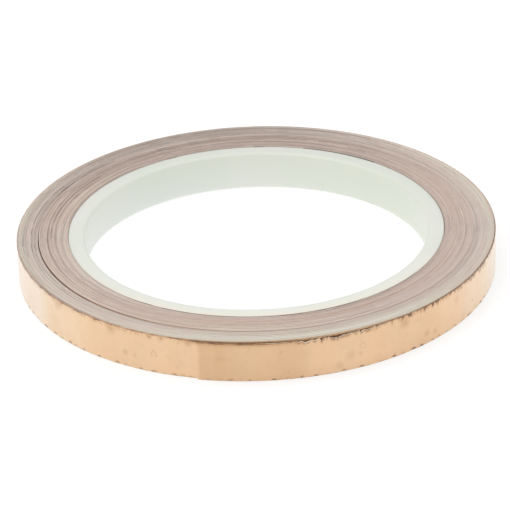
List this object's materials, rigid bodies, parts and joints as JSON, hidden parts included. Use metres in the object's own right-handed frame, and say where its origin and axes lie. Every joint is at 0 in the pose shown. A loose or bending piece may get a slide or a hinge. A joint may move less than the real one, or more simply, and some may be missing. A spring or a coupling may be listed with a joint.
{
  "type": "copper foil tape roll",
  "caption": "Flat ring-shaped roll of adhesive copper foil tape on a paper liner, wound on a white plastic core with an open centre, its free end standing off to lift and peel.",
  "frame": {"origin": "on the axis of the core bore, half way between the two flat sides of the roll", "axes": "+Z along the axis of the roll, up as it lies flat; -Y towards the free end of the tape"},
  "size_m": [0.1063, 0.1065, 0.0092],
  "materials": {
    "core_plastic": "white polypropylene, slightly translucent, smooth moulded surface",
    "winding_inner_edges": "cut edges of foil and liner, pinkish grey, matte",
    "winding_middle_edges": "cut edges of foil and liner, pinkish grey, matte",
    "winding_outer_edges": "cut edges of foil and liner, pinkish grey, matte",
    "winding_last_edges": "cut edges of foil and liner, paler grey, matte",
    "lap_liner_paper": "cream silicone-coated release paper",
    "lap_adhesive_film": "clear acrylic adhesive, tacky, seen over copper",
    "lap_foil_copper": null,
    "tail_liner_paper": "cream silicone-coated release paper",
    "tail_adhesive_film": "clear acrylic adhesive, tacky, seen over copper",
    "tail_foil_copper": null
  },
  "bodies": {
    "roll": {"core": "core_plastic", "winding_inner": "winding_inner_edges", "winding_middle": "winding_middle_edges", "winding_outer": "winding_outer_edges", "winding_last": "winding_last_edges", "lap_liner": "lap_liner_paper", "lap_adhesive": "lap_adhesive_film", "lap_foil": "lap_foil_copper"},
    "liner_end": {"tail_liner": "tail_liner_paper", "tail_root_adhesive": "tail_adhesive_film", "tail_root_foil": "tail_foil_copper"},
    "foil_end": {"tail_adhesive": "tail_adhesive_film", "tail_foil": "tail_foil_copper"}
  },
  "joints": [
    {"name": "tail_lift", "type": "hinge", "parent": "roll", "child": "liner_end", "pos_m": [0.02811, -0.04526, 0], "axis": [0, 0, 1], "range_deg": [0, 75]},
    {"name": "foil_peel", "type": "hinge", "parent": "liner_end", "child": "foil_end", "pos_m": [0.01734, -0.05048, 0], "axis": [0, 0, 1], "range_deg": [0, 70]}
  ]
}
